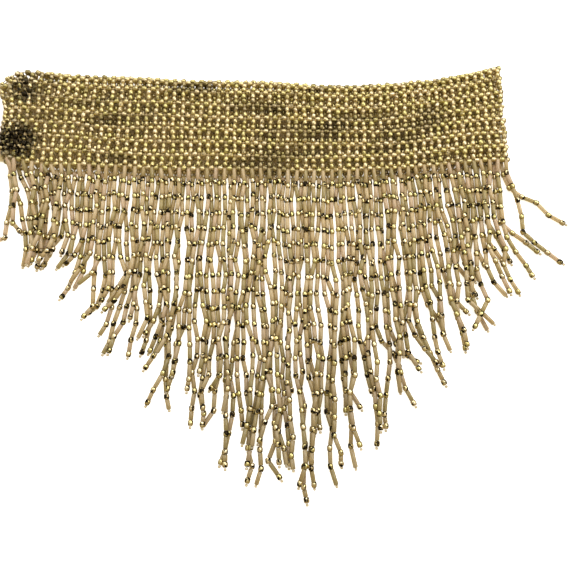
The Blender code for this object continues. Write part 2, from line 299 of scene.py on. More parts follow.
REPEAT = 0.0115  # one oval bead and one tube
LONGEST = 18.2  # repeats in the strand at the point of the V
SHORTEST = 5
STEP_UP = 0.50  # repeats fewer from each column to the next
LENGTH_SPREAD = 0.8
LEAN_SPREAD = 0.015
FLOOR_GAP = 0.0003
LOWEST_MIDDLE = STRAND_RADIUS + FLOOR_GAP
OVER_BACK = WALL + GAP + STRAND_RADIUS
LAID_ON = 2 * STRAND_RADIUS + GAP
NEAR = 2 * STRAND_RADIUS + 0.0002
LOOK_STEP = 0.0015
HALF = BAND_LENGTH / 2
PITCH = BAND_LENGTH / COLUMNS


def table(fields, *rows):
    """Rows of numbers, with a name for each column."""
    return list(map(namedtuple("Row", fields)._make, rows))


EDGES = table(
    "across lower upper",
    (-0.188, -0.0235, 0.0300),
    (-0.184, -0.0285, 0.0325),
    (-0.177, -0.0335, 0.0358),
    (-0.168, -0.0342, 0.0395),
    (-0.145, -0.0350, 0.0392),
    (-0.114, -0.0370, 0.0364),
    (-0.076, -0.0386, 0.0346),
    (-0.036, -0.0396, 0.0329),
    (0.004, -0.0403, 0.0317),
    (0.060, -0.0408, 0.0292),
    (0.080, -0.0404, 0.0286),
    (0.106, -0.0390, 0.0302),
    (0.140, -0.0354, 0.0348),
    (0.165, -0.0335, 0.0395),
    (0.188, -0.0330, 0.0455),
)
SWELLS = table(
    "across up lean length width rise",
    (-0.168, 0.45, 0.10, 0.060, 0.007, -0.0010),
    (-0.118, 0.30, -0.50, 0.030, 0.009, -0.0006),
    (-0.082, 0.80, 1.20, 0.050, 0.007, 0.0005),
    (-0.040, 0.45, -1.10, 0.045, 0.008, -0.0006),
    (0.006, 0.25, 1.30, 0.055, 0.008, 0.0005),
    (0.046, 0.62, 1.35, 0.060, 0.007, -0.0006),
    (0.098, 0.35, -0.90, 0.050, 0.009, 0.0006),
    (0.134, 0.72, 0.50, 0.040, 0.008, -0.0005),
    (0.168, 0.40, -0.30, 0.050, 0.007, 0.0005),
)
Wave = namedtuple("Wave", "swing across along phase")
Layer = namedtuple("Layer", "name point offset wave seed deepest")
BACK = Layer("back", 0.014, 0.5, Wave(0.0006, 0.052, 0.110, 1.3), 11, 2)
FRONT = Layer("front", 0.040, 0.0, Wave(0.0006, 0.044, 0.095, 4.0), 23, 4)


def value_at(rows, column, across):
    """A smooth curve through one column of a table whose rows run along the band."""
    places = np.array([row.across for row in rows])
    values = np.array([getattr(row, column) for row in rows])
    slopes = np.gradient(values, places)
    across = min(max(across, places[0]), places[-1])
    k = int(min(max(np.searchsorted(places, across) - 1, 0), len(places) - 2))
    span = places[k + 1] - places[k]
    t = (across - places[k]) / span
    rise = values[k] * (1 + 2 * t) * (1 - t) ** 2 + values[k + 1] * t * t * (3 - 2 * t)
    return float(rise + span * (slopes[k] * t * (1 - t) ** 2 - slopes[k + 1] * t * t * (1 - t)))


def ease(t):
    """0 to 1, with a level start and end."""
    t = min(max(t, 0.0), 1.0)
    return t * t * (3 - 2 * t)


def place_of(layer, column):
    """Where a column of a layer is along the band."""
    u = (column + layer.offset) * 2 / COLUMNS
    place = HALF * (u + STRETCH * (1 - u * u))
    return place + BACK_WIDER * (place - WIDER_FROM) if layer is BACK else place


def row_share(course):
    """How far up the net's height a place is after so many courses."""
    below = COURSES - 1
    return (min(course, below) + TOP_COURSE * max(course - below, 0)) / (below + TOP_COURSE)


def edge_at(layer, edge, across):
    """The lower or upper edge of a layer at a place along the band."""
    drop = BACK_DROPS[edge] * (1 - (across / HALF) ** DROP_POWER) if layer is BACK else 0.0
    return value_at(EDGES, edge, across) - drop


def in_roll(across):
    """0 outside the roll at the left fold, 1 where the roll is highest."""
    return ease((ROLL_LENGTH - HALF - across) / (ROLL_LENGTH - ROLL_END))


def unit(rows):
    """Vectors in rows, each made one long."""
    return rows / np.linalg.norm(rows, axis=1)[:, None]


def columns_of(layer):
    """The numbers of a layer's columns: the back ones hang half a column to the side."""
    return range(-(COLUMNS // 2), COLUMNS // 2 + (0 if layer.offset else 1))


print(f"columns are {PITCH * 1000:.2f} mm apart")

# %% [markdown]
# ## The net's walls
#
# Seen from the end, the laid ring is two walls one bead thick that meet in the folds. The left fold isn't
# pressed: the front wall rises in a roll there. The curve is the middle of the beads, so a bead is placed
# straight on it. Nothing then pushes beads apart, so many run a few tenths of a millimetre into a
# neighbour, and some run in deeper.

# %% Walls
def middle_height(layer, across):
    """Height of the middle of a layer's wall above the surface, away from its folds."""
    if layer is BACK:
        return WALL / 2
    return WALL * 1.5 + GAP + ROLL_RISE * in_roll(across)


def fold_arc(centre_x, centre_z, reach_x, reach_z):
    """Points of a quarter ellipse that ends level with its centre, which the wall turns down or up on."""
    for k in range(1, FOLD_STEPS + 1):
        turn = 0.5 * math.pi * k / FOLD_STEPS
        yield centre_x + reach_x * math.sin(turn), centre_z + reach_z * math.cos(turn)


def wall_path(layer):
    """The middle of a layer's wall, seen along Y, from the left fold to the right one."""
    flat_end = HALF - WALL
    if layer is FRONT:
        seam = WALL + GAP
        left = -HALF + ROLL_END
        crest = middle_height(layer, left) - seam
        path = list(fold_arc(left, seam, -(ROLL_END - WALL / 2), crest))[::-1]
    else:
        seam = WALL
        left = -flat_end
        path = list(fold_arc(left, seam, -WALL / 2, -WALL / 2))[::-1]
    turn = middle_height(layer, flat_end) - seam
    flat = [left + (flat_end - left) * k / STATIONS for k in range(STATIONS + 1)]
    path += [(x, middle_height(layer, x)) for x in flat]
    return path + list(fold_arc(flat_end, seam, WALL / 2, turn))


def outward_normals(path, up):
    """Unit normals in the XZ plane, towards the layer's outer side."""
    points = np.array(path)
    runs = np.gradient(points, axis=0)
    runs[0] = (0.0, 1.0) if up > 0 else (0.0, -1.0)
    runs[-1] = -runs[0]
    return unit(up * np.column_stack([-runs[:, 1], runs[:, 0]]))


def swell_at(across, fraction, height):
    """How far the soft troughs and swells move the front layer at a place on the band."""
    total = 0.0
    for s in SWELLS:
        dx = across - s.across
        dy = (fraction - s.up) * height
        along = dx * math.sin(s.lean) + dy * math.cos(s.lean)
        beside = dx * math.cos(s.lean) - dy * math.sin(s.lean)
        total += s.rise * math.exp(-((2 * along / s.length) ** 2) - (beside / s.width) ** 2)
    return total


Station = namedtuple("Station", "x z nx nz lower upper")


def stations_of(layer):
    """Along a layer's wall: its middle, its outward normal and the layer's two edges there."""
    path = wall_path(layer)
    for (x, z), (nx, nz) in zip(path, outward_normals(path, 1 if layer is FRONT else -1)):
        outer_x = x + nx * WALL / 2
        yield Station(x, z, nx, nz, edge_at(layer, "lower", outer_x), edge_at(layer, "upper", outer_x))


def station_at(stations, x):
    """The wall at one place along the band, read between its stations."""
    rows = np.array(stations)
    return Station(*(float(np.interp(x, rows[:, 0], rows[:, k])) for k in range(len(Station._fields))))


print("walls from", wall_path(FRONT)[0], "to", wall_path(FRONT)[-1])

# %% [markdown]
# ## Where the net's threads cross
#
# The net is worked in squares, as beadworkers say at a right angle: one bead lies along the top and the
# bottom of each cell and two stand on each side. So it is enough to know where the threads cross. The
# ring has 59 columns in front and 58 behind, and a crossing with no post at each fold. Hand-strung
# elastic never lies quite straight, so slow waves and small chance moves pull the crossings about.

# %% Crossings
ROW_RISE = 0.0003  # rows of beads lie a little higher than the posts between them
LIFTS = {"back": 0.00045, "front": 0.00105}  # each layer lies this much higher than its solid's middle
BACK_PEEK = 0.0010  # the back's upper row stands out from behind the front one's
NESTLE = {"back": 0.0016, "front": -0.0005}  # the upper rows lie between each other's beads
UNDER_ROLL = 0.0026  # the back half lies so much farther out under the roll
FOLD_IN = 0.0048  # the left fold is drawn in below its upper corner:
FOLD_IN_FROM, FOLD_IN_LENGTH = -0.160, 0.026  # from this place on, over this length,
FOLD_IN_BELOW, FOLD_IN_ROWS = 5.8, 1.5  # and below this row, over so many rows
PULL = 0.00045  # slow pull of the net along the band and up it
PULL_ALONG, PULL_UP = (31.0, 1.9, 0.0), (67.0, 0.8, 2.0)  # its waves: per metre, per row, and phase
STRAY = 0.00034  # chance move of each crossing
CROSSING_SEED = 5

Column = namedtuple("Column", "layer number station")  # a fold has no number, for no post runs in it


def ring_columns():
    """The ring's columns in order: the front ones, the right fold, the back ones, the left fold."""
    columns = []
    for layer, step in ((FRONT, 1), (BACK, -1)):
        stations = list(stations_of(layer))
        numbers = columns_of(layer)[::step]
        columns += [Column(layer, n, station_at(stations, place_of(layer, n))) for n in numbers]
        columns.append(Column(layer, None, stations[-1] if layer is FRONT else stations[0]))
    return columns


def pull_at(wave, x, row, draw):
    """How far a crossing is pulled one way, slowly and by chance."""
    per_metre, per_row, phase = wave
    return PULL * math.sin(per_metre * x + per_row * row + phase) + draw.gauss(0.0, STRAY)


def crossing(column, row, draw):
    """Where the thread of a row crosses the thread of a column."""
    x, z, nx, nz, lower, upper = column.station
    low, high = lower + STRIP_HEIGHT / 2, upper - WALL / 2
    if column.layer is BACK and column.number is not None:
        high += BACK_PEEK
        x -= UNDER_ROLL * in_roll(x)
    x += FOLD_IN * ease((FOLD_IN_FROM - x) / FOLD_IN_LENGTH) * ease((FOLD_IN_BELOW - row) / FOLD_IN_ROWS)
    share = row_share(row)
    pull_x, pull_y = pull_at(PULL_ALONG, x, row, draw), pull_at(PULL_UP, x, row, draw)
    out = 0.0
    if column.layer is FRONT:
        out = (ROW_RISE + swell_at(x, share, high - low)) * max(nz, 0.0)
    height = z + nz * out + LIFTS[column.layer.name]
    if row == COURSES:
        height += NESTLE[column.layer.name] * abs(nz)
    return x + nx * out + pull_x * abs(nz), low + (high - low) * share + pull_y, height


ring = ring_columns()
net_draw = random.Random(CROSSING_SEED)
crossings = np.array([[crossing(column, row, net_draw) for row in range(COURSES + 1)] for column in ring])
print(len(ring), "columns round the ring,", crossings.shape[1], "rows of crossings")

# %% [markdown]
# ## Small shapes, copied many times
#
# A bead is a sphere drawn out along its hole and filled out to a barrel, with the ends pressed in where the
# thread goes. It has only 48 faces, and 30 in the back of the net, because it is copied thousands of times
# and never looks large. Copies could be instances, but they have to leave with the piece as real faces, so
# one helper writes them straight into a single mesh: each gets its place, its turn, a tint of its own and
# the small shape's own coordinates, which the materials read.

# %% Small shapes
BEAD_RADIUS = 0.0019
BEAD_LENGTH = 0.0042
BARREL = 0.62  # 1 would leave an oval; less fills its shoulders out
DIMPLE = 0.00045  # depth of the bead's hole at each end


def shape_of(bm):
    """A small shape's points and faces, as arrays to copy from."""
    bm.verts.ensure_lookup_table()
    points = np.array([vert.co[:] for vert in bm.verts])
    faces = [tuple(vert.index for vert in face.verts) for face in bm.faces]
    bm.free()
    return points, faces


def bead_shape(around, rings, radius=BEAD_RADIUS, length=BEAD_LENGTH):
    """A barrel-shaped bead, its hole along Z."""
    bm = bmesh.new()
    bmesh.ops.create_uvsphere(bm, u_segments=around, v_segments=rings, radius=1.0)
    for point in bm.verts:
        out = math.hypot(point.co.x, point.co.y)
        if out < 0.01:  # at the ends of the hole
            point.co.z *= 1.0 - 2 * DIMPLE / length
        else:
            point.co.x *= out ** (BARREL - 1)
            point.co.y *= out ** (BARREL - 1)
            point.co.z = math.copysign(abs(point.co.z) ** BARREL, point.co.z)
    bmesh.ops.scale(bm, vec=(radius, radius, length / 2), verts=bm.verts)
    bmesh.ops.recalc_face_normals(bm, faces=bm.faces)
    bm.verts.index_update()
    return shape_of(bm)


def turned(directions, rolls):
    """Rotations that take Z to each direction, then roll about it."""
    along = unit(directions)
    upright = np.where(np.abs(along[:, 2:]) > 0.9, (1.0, 0.0, 0.0), (0.0, 0.0, 1.0))
    side = unit(np.cross(upright, along))
    top = np.cross(along, side)
    c, s = np.cos(rolls)[:, None], np.sin(rolls)[:, None]
    return np.stack([side * c + top * s, top * c - side * s, along], axis=2)


def parts_of(rows):
    """An array for each part that every row has."""
    return [np.array(part) for part in zip(*rows)]


class Strung:
    """Copies of small shapes, gathered for one mesh."""

    def __init__(self, seed):
        self.draw = np.random.default_rng(seed)
        self.points, self.own, self.tints, self.faces, self.finishes = [], [], [], [], []
        self.count = 0

    def add(self, shape, middles, directions, finish=0, stretch=None):
        """A copy of a shape at every middle, its Z along the direction there."""
        points, faces = shape
        number = len(middles)
        turns = turned(directions, self.draw.uniform(0.0, math.tau, number))
        sized = np.repeat(points[None], number, axis=0)
        if stretch is not None:
            sized = sized * stretch[:, None, :]
        placed = np.einsum("nij,nkj->nki", turns, sized) + middles[:, None, :]
        self.points.append(placed.reshape(-1, 3))
        self.own.append(np.tile(points, (number, 1)))
        self.tints.append(np.repeat(self.draw.random(number), len(points)))
        for k in range(number):
            start = self.count + k * len(points)
            self.faces += [tuple(start + corner for corner in face) for face in faces]
        self.finishes += [finish] * (number * len(faces))
        self.count += number * len(points)

    def add_mesh(self, mesh, finish):
        """Faces that are already in place, such as threads."""
        points = np.array([vert.co[:] for vert in mesh.vertices])
        self.points.append(points)
        self.own.append(points)
        self.tints.append(np.full(len(points), 0.5))
        self.faces += [tuple(self.count + corner for corner in face.vertices) for face in mesh.polygons]
        self.finishes += [finish] * len(mesh.polygons)
        self.count += len(points)
        bpy.data.meshes.remove(mesh)

    def piece(self, name, materials):
        """The gathered copies as one object, shaded smooth."""
        mesh = bpy.data.meshes.new(name)
        mesh.from_pydata(np.vstack(self.points), [], self.faces)
        for material in materials:
            mesh.materials.append(material)
        mesh.polygons.foreach_set("material_index", self.finishes)
        mesh.attributes.new("tint", "FLOAT", "POINT").data.foreach_set("value", np.concatenate(self.tints))
        own = mesh.attributes.new("own", "FLOAT_VECTOR", "POINT")
        own.data.foreach_set("vector", np.vstack(self.own).ravel())
        mesh.shade_smooth()
        print(f"{name}: {sum(len(face) - 2 for face in self.faces):,} triangles")
        return new_object(name, mesh)


BEAD = bead_shape(8, 6)
BACK_BEAD = bead_shape(6, 5)
print(len(BEAD[1]), "faces on a bead,", len(BACK_BEAD[1]), "on one in the back of the net")

# %% [markdown]
# ## Thread
#
# Golden elastic carries the beads. Little of it shows, only at the crossings and in the openings of the
# net, where the back half's thicker posts close the view of the floor, but without it the beads would
# hang in the air. A curve with a bevel makes it, turned to a mesh so that it can be joined to the beads.

# %% Thread
THREAD_RADIUS = 0.00022
NET_THREAD_RADIUS = 0.00045
BACK_THREAD_RADIUS = 0.0007
SAME_POINT = 0.00001  # points closer than this are joined


def thread_mesh(name, lines, radius, closed=False):
    """Round threads along lines of points, as a mesh with closed ends."""
    curve = bpy.data.curves.new(name, "CURVE")
    curve.dimensions = "3D"
    curve.bevel_depth = radius
    curve.bevel_resolution = 0
    curve.use_fill_caps = True
    for line in lines:
        spline = curve.splines.new("POLY")
        spline.points.add(len(line) - 1)
        for point, place in zip(spline.points, line):
            point.co = (*place, 1.0)
        spline.use_cyclic_u = closed
    cord = new_object(name, curve)
    bpy.context.view_layer.update()
    mesh = bpy.data.meshes.new_from_object(cord.evaluated_get(bpy.context.evaluated_depsgraph_get()))
    bpy.data.objects.remove(cord)
    bpy.data.curves.remove(curve)
    bm = bmesh.new()
    bm.from_mesh(mesh)
    bmesh.ops.remove_doubles(bm, verts=bm.verts, dist=SAME_POINT)
    bmesh.ops.recalc_face_normals(bm, faces=bm.faces)
    bm.to_mesh(mesh)
    bm.free()
    return mesh


print(f"thread {THREAD_RADIUS * 2000:.2f} mm thick")

# %% [markdown]
# ## Finishes
#
# - The beads are plastic with a thin coat of metal. Tints run from a greenish to a reddish gold from bead
#   to bead, and small dents break up the reflections. The coat is tarnished in streaks along the net's
#   rows. Two spots in the valleys of the roll by the left fold are painted black, as painted shade. The
#   net's beads rub on each other and are satin; the fringe's are brighter, with black painted on them in
#   chance flecks as painted dark reflections.
# - The tubes are champagne glass, drawn with fine streaks along them, each tan, olive, beige or a little
#   rosy, and painted darker towards the point of the V, as painted shade where the light falls off. They
#   let through a third of the light, so they glow over the pale floor and darken over the net.
# - Thread and stop beads are plain.

# %% Finishes
GOLD_GREEN = (0.56, 0.48, 0.19, 1.0)
GOLD_RED = (0.68, 0.52, 0.24, 1.0)
GOLD_PALE = (0.74, 0.63, 0.42, 1.0)
TARNISHED = (0.16, 0.12, 0.05, 1.0)
# painted black: painted shade in two spots by the left fold, and painted dark reflections in flecks on the
# fringe's beads
PAINTED_BLACK = (0.018, 0.013, 0.007, 1.0)
# the two spots of painted shade in the valleys of the roll by the left fold
PAINTED_SHADE_SPOTS = (((-0.168, 0.024, 0.010), 0.014), ((-0.170, -0.018, 0.010), 0.020))  # middle, radius
SPOT_EDGE = (0.6, 1.4)  # of the radius: full within the first, gone past the second
FRAY = 0.010
GLASS_OLIVE = (0.44, 0.34, 0.13, 1.0)
GLASS_TAN = (0.58, 0.41, 0.18, 1.0)
GLASS_BEIGE = (0.68, 0.52, 0.28, 1.0)
GLASS_ROSE = (0.65, 0.47, 0.28, 1.0)
# painted shade, darker where the light falls off towards the viewer
GLASS_PAINTED_SHADE = (0.24, 0.18, 0.07, 1.0)
PAINTED_SHADE_FROM, PAINTED_SHADE_TO = -0.08, -0.22  # along Y: painted shade, the tubes grow darker towards the point of the V
PAINTED_SHADE_SHARE = 0.5
TAN_FROM, BEIGE_FROM, ROSE_FROM = (0.10, 0.45), (0.60, 0.90), (0.80, 0.88)  # of the tints, 0 to 1
GLASS_STREAK = (1.0, 1.0, 0.06)  # noise drawn out along the tube
GLASS_DENT = 0.00006
THREAD_TINTS = ((0.34, 0.24, 0.10, 1.0), (0.56, 0.42, 0.20, 1.0))
STOP_TINTS = ((0.50, 0.40, 0.24, 1.0), (0.76, 0.66, 0.46, 1.0))
WORN = (0.55, 0.95)  # gold grows pale between these values of noise
Patches = namedtuple("Patches", "scale begins full share detail", defaults=(1.0, 2.0))
STREAKS = Patches(70.0, 0.52, 0.68, 0.75, 3.0)
ALONG_ROWS = (0.35, 1.4, 1.0)
SPOT_GRAIN = Patches(280.0, 0.38, 0.46)
Gold = namedtuple("Gold", "chips smoothest spread scale dent")  # roughness spreads from its smoothest
SATIN = Gold(Patches(420.0, 0.57, 0.61, 0.85), 0.20, 0.26, 500.0, 0.00008)
# the fringe's dark flecks are painted dark reflections, in black
BRIGHT = Gold(Patches(400.0, 0.52, 0.56), 0.08, 0.16, 600.0, 0.00006)


def patches(shading, kind, vector=None):
    """Chance patches such as dark flecks: 0, or up to their share where the noise is high."""
    noise = shading.noise(kind.scale, kind.detail, vector)
    return shading.between(noise, kind.begins, kind.full) * kind.share


def gold_colour(shading):
    tint = shading.attribute("tint")
    worn = shading.noise(900.0, 3.0)
    colour = shading.mix(tint, GOLD_GREEN, GOLD_RED)
    return shading.mix(shading.between(worn + tint * 0.3, *WORN), colour, GOLD_PALE), worn


def painted_shade_mask(shading):
    """1 in the two large spots of painted shade by the left fold, with a frayed edge."""
    place = shading.place()
    fray = shading.noise(160.0)
    mask = 0.0
    for middle, radius in PAINTED_SHADE_SPOTS:
        away = shading.vectors("DISTANCE", place, middle, "Value") + fray * FRAY
        mask = (1 - shading.between(away, radius * SPOT_EDGE[0], radius * SPOT_EDGE[1])) + mask
    return shading.between(mask, 0.0, 1.0)


def rough_and_dented(shading, gold, worn):
    """What the two golds share, each with its own values."""
    roughness = gold.smoothest + gold.spread * shading.noise(gold.scale)
    return {"Roughness": roughness, "Normal": shading.bump(worn, gold.dent)}


def satin_finish(shading):
    colour, worn = gold_colour(shading)
    along_rows = shading.vectors("MULTIPLY", shading.place(), ALONG_ROWS)
    colour = shading.mix(patches(shading, STREAKS, along_rows), colour, TARNISHED)
    colour = shading.mix(patches(shading, SATIN.chips), colour, TARNISHED)
    # painted shade: black in the two spots by the left fold
    spots = painted_shade_mask(shading) * patches(shading, SPOT_GRAIN)
    colour = shading.mix(spots, colour, PAINTED_BLACK)
    return {"Base Color": colour, **rough_and_dented(shading, SATIN, worn)}


def bright_finish(shading):
    colour, worn = gold_colour(shading)
    # painted dark reflections: black in chance flecks on the beads
    colour = shading.mix(patches(shading, BRIGHT.chips), colour, PAINTED_BLACK)
    return {"Base Color": colour, **rough_and_dented(shading, BRIGHT, worn)}


def glass_finish(shading):
    own = shading.attribute("own", "Vector")
    tint = shading.attribute("tint")
    shifted = shading.vectors("ADD", shading.vectors("MULTIPLY", own, GLASS_STREAK), tint * 7.0)
    streak = shading.noise(1400.0, 3.0, shifted)
    colour = shading.mix(shading.between(tint, *TAN_FROM), GLASS_OLIVE, GLASS_TAN)
    colour = shading.mix(shading.between(tint + streak * 0.4, *BEIGE_FROM), colour, GLASS_BEIGE)
    colour = shading.mix(shading.between(tint, *ROSE_FROM), colour, GLASS_ROSE)
    # painted shade: darker towards the point of the V
    painted_shade = 1 - shading.between(shading.axis(shading.place(), "Y"), PAINTED_SHADE_TO, PAINTED_SHADE_FROM)
    colour = shading.mix(painted_shade * PAINTED_SHADE_SHARE, colour, GLASS_PAINTED_SHADE)
    dents = shading.bump(streak, GLASS_DENT)
    return {"Base Color": colour, "Roughness": 0.15 + 0.25 * streak, "Normal": dents}


def thread_finish(shading):
    twist = shading.noise(2500.0)
    colour = shading.mix(twist, *THREAD_TINTS)
    return {"Base Color": colour, "Normal": shading.bump(twist, 0.00005)}


def stop_finish(shading):
    cloud = shading.noise(1200.0)
    return {"Base Color": shading.mix(cloud, *STOP_TINTS)}


satin_gold = new_material("satin gold", {"Metallic": 1.0}, satin_finish)
bright_gold = new_material("bright gold", {"Metallic": 1.0}, bright_finish)
glass = new_material("champagne glass", {"Transmission Weight": 0.35, "IOR": 1.5}, glass_finish)
thread = new_material("elastic thread", {"Roughness": 0.6}, thread_finish)
clear = new_material("clear stop bead", {"Transmission Weight": 0.5, "Roughness": 0.2}, stop_finish)
print("finishes:", [m.name for m in (satin_gold, bright_gold, glass, thread, clear)])

# %% [markdown]
# ## The bead net
#
# Now the ring can be strung. Beads could be placed by a Geometry Nodes tree on the crossings' edges, but
# with the crossings known, plain arrays say it more shortly: the middle of two neighbouring crossings is a
# row's bead, and a post has two, one on each side of its middle.

# %% The bead net
POST_SPACING = 0.0041  # between the two beads of a post
POST_ROOM = 0.0012  # what a post leaves free for the crossings at its ends
TILT_SPREAD = 0.20  # chance tilt of a bead, in radians
GIRTH_SPREAD = 0.07  # and by what share it is thicker or thinner
NET_SEED = 3

Bead = namedtuple("Bead", "middle run stretch")


def net_beads():
    """For each layer, its beads: middle, direction and how far each is drawn out."""
    beads = {FRONT: [], BACK: []}
    for c, column in enumerate(ring):
        before, here, after = crossings[c - 1], crossings[c], crossings[(c + 1) % len(ring)]
        strung = beads[column.layer]
        for row in range(COURSES + 1):
            if column.number is None:
                strung.append(Bead(here[row], after[row] - before[row], 1.0))
            elif ring[(c + 1) % len(ring)].number is not None:
                strung.append(Bead((here[row] + after[row]) / 2, after[row] - here[row], 1.0))
        if column.number is not None:
            for low, high in zip(here, here[1:]):
                length = np.linalg.norm(high - low)
                run = (high - low) / length
                fit = min((length - POST_ROOM) / (2 * POST_SPACING), 1.0)
                for side in (-0.5, 0.5):
                    strung.append(Bead((low + high) / 2 + run * POST_SPACING * fit * side, run, fit))
    return beads


def make_bead_net():
    net = Strung(NET_SEED)
    for layer, placed in net_beads().items():
        middles, runs, fits = parts_of(placed)
        runs = unit(runs) + net.draw.normal(0.0, TILT_SPREAD, runs.shape)
        girths = net.draw.normal(1.0, GIRTH_SPREAD, fits.shape)
        stretch = np.column_stack([girths, girths, fits])
        net.add(BEAD if layer is FRONT else BACK_BEAD, middles, runs, stretch=stretch)
    rows = [crossings[:, row] for row in range(COURSES + 1)]
    posts = {BACK: [], FRONT: []}
    for column, places in zip(ring, crossings):
        if column.number is not None:
            posts[column.layer].append(places)
    net.add_mesh(thread_mesh("rows", rows, NET_THREAD_RADIUS, closed=True), 1)
    net.add_mesh(thread_mesh("back_posts", posts[BACK], BACK_THREAD_RADIUS), 1)
    net.add_mesh(thread_mesh("front_posts", posts[FRONT], NET_THREAD_RADIUS), 1)
    return net.piece("bead_net", (satin_gold, thread))


bead_net = make_bead_net()

# %% [markdown]
# ## Where the strands lie
#
# Each strand hangs from its column, swings with its neighbours, bends at its beads and curls at its end.
# Where strands cross, the later one is laid on the earlier one, at the heights of the thinner cords that
# stand for them in the solids. The beads and tubes aren't kept apart, so hundreds of them run into a
# neighbour, a few by 2 mm. Two stages keep this readable: first the plan of a strand, seen from above, then
# its heights, found by comparing it with all strands laid before it.

# %% Strand tables
GATHERS = table(
    "across root shift lean curl over",
    (-0.188, 0.010, 0.003, 0.22, 0.0, 2.0),
    (-0.172, 0.0075, 0.0050, 0.20, -0.20, 2.2),
    (-0.155, 0.0040, 0.0030, 0.12, -0.30, 2.5),
    (-0.132, 0.0, 0.0, 0.06, -0.40, 2.6),
    (-0.110, 0.0, 0.0, 0.02, -0.40, 2.6),
    (-0.080, 0.0, 0.0, 0.0, -0.15, 2.6),
    (0.0, 0.0, 0.0, 0.0, 0.0, 2.6),
    (0.070, 0.0, 0.0, 0.01, 0.10, 2.6),
    (0.115, 0.0, 0.001, 0.03, 0.20, 3.0),
    (0.150, 0.0, 0.001, 0.05, 0.16, 3.0),
    (0.174, -0.001, 0.0, 0.03, 0.30, 3.4),
    (0.188, -0.003, 0.001, 0.03, 0.95, 4.2),
)
GATHER_LENGTH = 0.032
STRAYS = {  # a strand that lies apart from the rest: how much more it leans and curls
    ("back", 28): (0.27, -0.20),
    ("back", -29): (-0.26, -1.00),
    ("front", -28): (-0.16, 0.60),
    ("front", 11): (0.02, -0.50),
    ("back", -9): (-0.02, 0.55),
    ("front", 24): (0.02, -0.90),
    ("front", 29): (0.20, -0.25),
}
SHARED_WAVES = (
    Wave(0.0014, 0.037, 0.150, 0.4),
    Wave(0.0009, 0.0215, 0.082, 2.1),
)
OWN_SWING = (0.0003, 0.0007)
OWN_WAVE = (0.034, 0.070)
WAVES_SET_IN = 0.085
CROWDED_LENGTH = 0.060
CROWDED_ROOM = 0.2
CURL_SPREAD = 0.22
SHORT_CURL = 0.25
CURL_BEGINS_WITHIN = 1.7
CURL_TURNS = 1.4
LOOSE_REPEATS = 4
LOOSE_KINK = 0.12
MOST_SIDEWAYS = 0.85
CALMER = (1.0, 0.7, 0.4, 0.1, -0.2, -0.5)
print(len(STRAYS), "strands lie apart from the rest")

# %% The plan of a strand
def wave_at(wave, across, along):
    """Sideways swing of a strand that leaves the band at one place, after a length along it."""
    turn = 2 * math.pi * (across / wave.across + along / wave.along) + wave.phase
    return wave.swing * math.sin(turn) * ease(along / WAVES_SET_IN)


def chances_of(layer, column, draw):
    """What differs by chance from one strand to the next."""
    repeats = LONGEST - STEP_UP * abs(place_of(layer, column) - layer.point) / PITCH
    return {
        "repeats": round(max(repeats, SHORTEST) + draw.uniform(-LENGTH_SPREAD, LENGTH_SPREAD)),
        "slack": draw.uniform(-SLACK, SLACK),
        "lean": draw.uniform(-LEAN_SPREAD, LEAN_SPREAD),
        "curl": abs(draw.gauss(0.0, CURL_SPREAD)),
        "begins": draw.uniform(0.0, CURL_BEGINS_WITHIN),
        "wave": Wave(draw.uniform(*OWN_SWING), 1.0, draw.uniform(*OWN_WAVE), draw.uniform(0.0, math.tau)),
        "kinks": [draw.gauss(0.0, LOOSE_KINK) for _ in range(LOOSE_REPEATS)],
    }


def strand_plan(layer, column, chances, share):
    """Where a strand runs, seen from above: its root, each of its beads and its end. The first beads
    of both layers lie in one row."""
    place = place_of(layer, column)
    hang = {name: value_at(GATHERS, name, place) for name in GATHERS[0]._fields[1:]}
    more_lean, more_curl = STRAYS.get((layer.name, column), (0.0, 0.0))
    outwards = 1 if place > layer.point else -1
    lean = hang["lean"] + chances["lean"] + more_lean
    curl = hang["curl"] + outwards * chances["curl"] * share
    if layer is FRONT and chances["repeats"] <= SHORTEST:
        curl *= SHORT_CURL
    curl += more_curl
    begins = hang["over"] - chances["begins"]
    room = CROWDED_ROOM + (1 - CROWDED_ROOM) * ease((place + HALF) / CROWDED_LENGTH)
    x = place + hang["root"]
    edge = edge_at(layer, "lower", x)
    y = edge + STRIP_HEIGHT / 2
    lead = LEAD + chances["slack"] + edge - edge_at(FRONT, "lower", x)
    plan = [(x, y)]
    along = swing_before = 0.0
    for left in range(chances["repeats"], -1, -1):
        step = lead if left == chances["repeats"] else REPEAT
        along += step
        swing = hang["shift"] * ease(along / GATHER_LENGTH) + lean * along
        waves = (*SHARED_WAVES, layer.wave, chances["wave"])
        swing += room * sum(wave_at(wave, place, along) for wave in waves)
        sideways = min(max((swing - swing_before) / step, -MOST_SIDEWAYS), MOST_SIDEWAYS)
        swing_before = swing
        heading = math.asin(sideways) + curl * ease((begins - left) / CURL_TURNS)
        if left < LOOSE_REPEATS:
            heading += chances["kinks"][left] * share
        x += step * math.sin(heading)
        y -= step * math.cos(heading)
        plan.append((x, y))
    return np.array(plan)


print("a strand's plan starts at its root")

# %% The heights of a strand
STRANDS_LIFT = 0.0002  # the beads are thicker than the cords that stand for the strands


def kept_knots(plan):
    """Numbers of the plan's points that carry the strand's height: all near its end, else every second."""
    last = len(plan) - 1
    return [0, 1] + [k for k in range(2, last + 1) if last - k < LOOSE_REPEATS or (last - k) % 2]


def places_along(knots):
    """Places every few millimetres on the straight runs between knots, with the run each is in."""
    places, runs = [], []
    for run, (start, end) in enumerate(zip(knots, knots[1:])):
        count = max(int(np.linalg.norm((end - start)[:2]) / LOOK_STEP), 1)
        for k in range(count + 1):
            places.append(start + (end - start) * k / count)
            runs.append(run)
    return np.array(places), np.array(runs)


